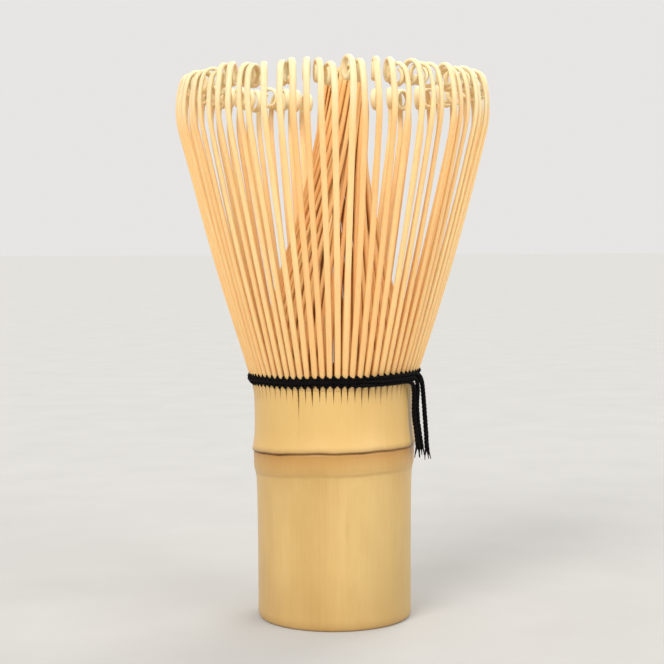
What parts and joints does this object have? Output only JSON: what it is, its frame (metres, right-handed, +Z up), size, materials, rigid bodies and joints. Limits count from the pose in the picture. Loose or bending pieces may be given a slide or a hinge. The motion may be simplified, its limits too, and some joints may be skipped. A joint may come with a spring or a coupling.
{
  "type": "bamboo tea whisk",
  "caption": "Bamboo tea whisk split from one culm: hollow handle below a node, flared ring of curled outer tines, gathered inner core, black thread binding with loose ends.",
  "frame": {"origin": "centre of the culm's foot, on the surface it stands on", "axes": "+Z up along the culm towards the tine tips, -Y towards the side seen first, +X towards the loose thread ends"},
  "size_m": [0.063, 0.063, 0.11],
  "materials": {
    "bamboo_culm": "smooth dried culm skin, semi-gloss, fine lengthwise fibres",
    "bamboo_outer_tines": "shaved bamboo strips, satin, paler at the curls",
    "bamboo_inner_tines": "shaved bamboo strips, satin, warm orange",
    "black_thread": "plied cotton thread, matt"
  },
  "bodies": {
    "root": {"culm_handle": "bamboo_culm", "node_diaphragm": "bamboo_culm", "tine_root_collar": "bamboo_culm", "outer_fingers": "bamboo_culm", "inner_fingers": "bamboo_culm", "binding_lower_turn": "black_thread", "binding_upper_turn": "black_thread", "binding_weave": "black_thread", "binding_knot": "black_thread", "thread_end_long": "black_thread", "thread_end_middle": "black_thread", "thread_end_short": "black_thread"},
    "outer_group_01": {"outer_tines_01": "bamboo_outer_tines"},
    "outer_group_02": {"outer_tines_02": "bamboo_outer_tines"},
    "outer_group_03": {"outer_tines_03": "bamboo_outer_tines"},
    "outer_group_04": {"outer_tines_04": "bamboo_outer_tines"},
    "outer_group_05": {"outer_tines_05": "bamboo_outer_tines"},
    "outer_group_06": {"outer_tines_06": "bamboo_outer_tines"},
    "outer_group_07": {"outer_tines_07": "bamboo_outer_tines"},
    "outer_group_08": {"outer_tines_08": "bamboo_outer_tines"},
    "outer_group_09": {"outer_tines_09": "bamboo_outer_tines"},
    "outer_group_10": {"outer_tines_10": "bamboo_outer_tines"},
    "outer_group_11": {"outer_tines_11": "bamboo_outer_tines"},
    "outer_group_12": {"outer_tines_12": "bamboo_outer_tines"},
    "outer_group_13": {"outer_tines_13": "bamboo_outer_tines"},
    "outer_group_14": {"outer_tines_14": "bamboo_outer_tines"},
    "outer_group_15": {"outer_tines_15": "bamboo_outer_tines"},
    "outer_group_16": {"outer_tines_16": "bamboo_outer_tines"},
    "outer_group_17": {"outer_tines_17": "bamboo_outer_tines"},
    "outer_group_18": {"outer_tines_18": "bamboo_outer_tines"},
    "inner_group_01": {"inner_tines_01": "bamboo_inner_tines"},
    "inner_group_02": {"inner_tines_02": "bamboo_inner_tines"},
    "inner_group_03": {"inner_tines_03": "bamboo_inner_tines"},
    "inner_group_04": {"inner_tines_04": "bamboo_inner_tines"},
    "inner_group_05": {"inner_tines_05": "bamboo_inner_tines"},
    "inner_group_06": {"inner_tines_06": "bamboo_inner_tines"},
    "inner_group_07": {"inner_tines_07": "bamboo_inner_tines"},
    "inner_group_08": {"inner_tines_08": "bamboo_inner_tines"},
    "inner_group_09": {"inner_tines_09": "bamboo_inner_tines"},
    "inner_group_10": {"inner_tines_10": "bamboo_inner_tines"},
    "inner_group_11": {"inner_tines_11": "bamboo_inner_tines"},
    "inner_group_12": {"inner_tines_12": "bamboo_inner_tines"}
  },
  "joints": [
    {"name": "outer_flex_01", "type": "hinge", "parent": "root", "child": "outer_group_01", "pos_m": [0.01655, 0, 0.0491], "axis": [0, 1, 0], "range_deg": [-3, 3], "stiffness_Nm_per_rad": 0.05},
    {"name": "outer_flex_02", "type": "hinge", "parent": "root", "child": "outer_group_02", "pos_m": [0.01555, 0.00566, 0.0491], "axis": [-0.342, 0.9397, 0], "range_deg": [-3, 3], "stiffness_Nm_per_rad": 0.05},
    {"name": "outer_flex_03", "type": "hinge", "parent": "root", "child": "outer_group_03", "pos_m": [0.01268, 0.01064, 0.0491], "axis": [-0.6428, 0.766, 0], "range_deg": [-3, 3], "stiffness_Nm_per_rad": 0.05},
    {"name": "outer_flex_04", "type": "hinge", "parent": "root", "child": "outer_group_04", "pos_m": [0.00827, 0.01433, 0.0491], "axis": [-0.866, 0.5, 0], "range_deg": [-3, 3], "stiffness_Nm_per_rad": 0.05},
    {"name": "outer_flex_05", "type": "hinge", "parent": "root", "child": "outer_group_05", "pos_m": [0.00287, 0.0163, 0.0491], "axis": [-0.9848, 0.1736, 0], "range_deg": [-3, 3], "stiffness_Nm_per_rad": 0.05},
    {"name": "outer_flex_06", "type": "hinge", "parent": "root", "child": "outer_group_06", "pos_m": [-0.00287, 0.0163, 0.0491], "axis": [-0.9848, -0.1736, 0], "range_deg": [-3, 3], "stiffness_Nm_per_rad": 0.05},
    {"name": "outer_flex_07", "type": "hinge", "parent": "root", "child": "outer_group_07", "pos_m": [-0.00827, 0.01433, 0.0491], "axis": [-0.866, -0.5, 0], "range_deg": [-3, 3], "stiffness_Nm_per_rad": 0.05},
    {"name": "outer_flex_08", "type": "hinge", "parent": "root", "child": "outer_group_08", "pos_m": [-0.01268, 0.01064, 0.0491], "axis": [-0.6428, -0.766, 0], "range_deg": [-3, 3], "stiffness_Nm_per_rad": 0.05},
    {"name": "outer_flex_09", "type": "hinge", "parent": "root", "child": "outer_group_09", "pos_m": [-0.01555, 0.00566, 0.0491], "axis": [-0.342, -0.9397, 0], "range_deg": [-3, 3], "stiffness_Nm_per_rad": 0.05},
    {"name": "outer_flex_10", "type": "hinge", "parent": "root", "child": "outer_group_10", "pos_m": [-0.01655, 0, 0.0491], "axis": [0, -1, 0], "range_deg": [-3, 3], "stiffness_Nm_per_rad": 0.05},
    {"name": "outer_flex_11", "type": "hinge", "parent": "root", "child": "outer_group_11", "pos_m": [-0.01555, -0.00566, 0.0491], "axis": [0.342, -0.9397, 0], "range_deg": [-3, 3], "stiffness_Nm_per_rad": 0.05},
    {"name": "outer_flex_12", "type": "hinge", "parent": "root", "child": "outer_group_12", "pos_m": [-0.01268, -0.01064, 0.0491], "axis": [0.6428, -0.766, 0], "range_deg": [-3, 3], "stiffness_Nm_per_rad": 0.05},
    {"name": "outer_flex_13", "type": "hinge", "parent": "root", "child": "outer_group_13", "pos_m": [-0.00827, -0.01433, 0.0491], "axis": [0.866, -0.5, 0], "range_deg": [-3, 3], "stiffness_Nm_per_rad": 0.05},
    {"name": "outer_flex_14", "type": "hinge", "parent": "root", "child": "outer_group_14", "pos_m": [-0.00287, -0.0163, 0.0491], "axis": [0.9848, -0.1736, 0], "range_deg": [-3, 3], "stiffness_Nm_per_rad": 0.05},
    {"name": "outer_flex_15", "type": "hinge", "parent": "root", "child": "outer_group_15", "pos_m": [0.00287, -0.0163, 0.0491], "axis": [0.9848, 0.1736, 0], "range_deg": [-3, 3], "stiffness_Nm_per_rad": 0.05},
    {"name": "outer_flex_16", "type": "hinge", "parent": "root", "child": "outer_group_16", "pos_m": [0.00827, -0.01433, 0.0491], "axis": [0.866, 0.5, 0], "range_deg": [-3, 3], "stiffness_Nm_per_rad": 0.05},
    {"name": "outer_flex_17", "type": "hinge", "parent": "root", "child": "outer_group_17", "pos_m": [0.01268, -0.01064, 0.0491], "axis": [0.6428, 0.766, 0], "range_deg": [-3, 3], "stiffness_Nm_per_rad": 0.05},
    {"name": "outer_flex_18", "type": "hinge", "parent": "root", "child": "outer_group_18", "pos_m": [0.01555, -0.00566, 0.0491], "axis": [0.342, 0.9397, 0], "range_deg": [-3, 3], "stiffness_Nm_per_rad": 0.05},
    {"name": "inner_flex_01", "type": "hinge", "parent": "root", "child": "inner_group_01", "pos_m": [0.0143, 0, 0.0491], "axis": [0, 1, 0], "range_deg": [0, 3], "stiffness_Nm_per_rad": 0.05},
    {"name": "inner_flex_02", "type": "hinge", "parent": "root", "child": "inner_group_02", "pos_m": [0.01238, 0.00715, 0.0491], "axis": [-0.5, 0.866, 0], "range_deg": [0, 3], "stiffness_Nm_per_rad": 0.05},
    {"name": "inner_flex_03", "type": "hinge", "parent": "root", "child": "inner_group_03", "pos_m": [0.00715, 0.01238, 0.0491], "axis": [-0.866, 0.5, 0], "range_deg": [0, 3], "stiffness_Nm_per_rad": 0.05},
    {"name": "inner_flex_04", "type": "hinge", "parent": "root", "child": "inner_group_04", "pos_m": [0, 0.0143, 0.0491], "axis": [-1, 0, 0], "range_deg": [0, 3], "stiffness_Nm_per_rad": 0.05},
    {"name": "inner_flex_05", "type": "hinge", "parent": "root", "child": "inner_group_05", "pos_m": [-0.00715, 0.01238, 0.0491], "axis": [-0.866, -0.5, 0], "range_deg": [0, 3], "stiffness_Nm_per_rad": 0.05},
    {"name": "inner_flex_06", "type": "hinge", "parent": "root", "child": "inner_group_06", "pos_m": [-0.01238, 0.00715, 0.0491], "axis": [-0.5, -0.866, 0], "range_deg": [0, 3], "stiffness_Nm_per_rad": 0.05},
    {"name": "inner_flex_07", "type": "hinge", "parent": "root", "child": "inner_group_07", "pos_m": [-0.0143, 0, 0.0491], "axis": [0, -1, 0], "range_deg": [0, 3], "stiffness_Nm_per_rad": 0.05},
    {"name": "inner_flex_08", "type": "hinge", "parent": "root", "child": "inner_group_08", "pos_m": [-0.01238, -0.00715, 0.0491], "axis": [0.5, -0.866, 0], "range_deg": [0, 3], "stiffness_Nm_per_rad": 0.05},
    {"name": "inner_flex_09", "type": "hinge", "parent": "root", "child": "inner_group_09", "pos_m": [-0.00715, -0.01238, 0.0491], "axis": [0.866, -0.5, 0], "range_deg": [0, 3], "stiffness_Nm_per_rad": 0.05},
    {"name": "inner_flex_10", "type": "hinge", "parent": "root", "child": "inner_group_10", "pos_m": [0, -0.0143, 0.0491], "axis": [1, 0, 0], "range_deg": [0, 3], "stiffness_Nm_per_rad": 0.05},
    {"name": "inner_flex_11", "type": "hinge", "parent": "root", "child": "inner_group_11", "pos_m": [0.00715, -0.01238, 0.0491], "axis": [0.866, 0.5, 0], "range_deg": [0, 3], "stiffness_Nm_per_rad": 0.05},
    {"name": "inner_flex_12", "type": "hinge", "parent": "root", "child": "inner_group_12", "pos_m": [0.01238, -0.00715, 0.0491], "axis": [0.5, 0.866, 0], "range_deg": [0, 3], "stiffness_Nm_per_rad": 0.05}
  ]
}
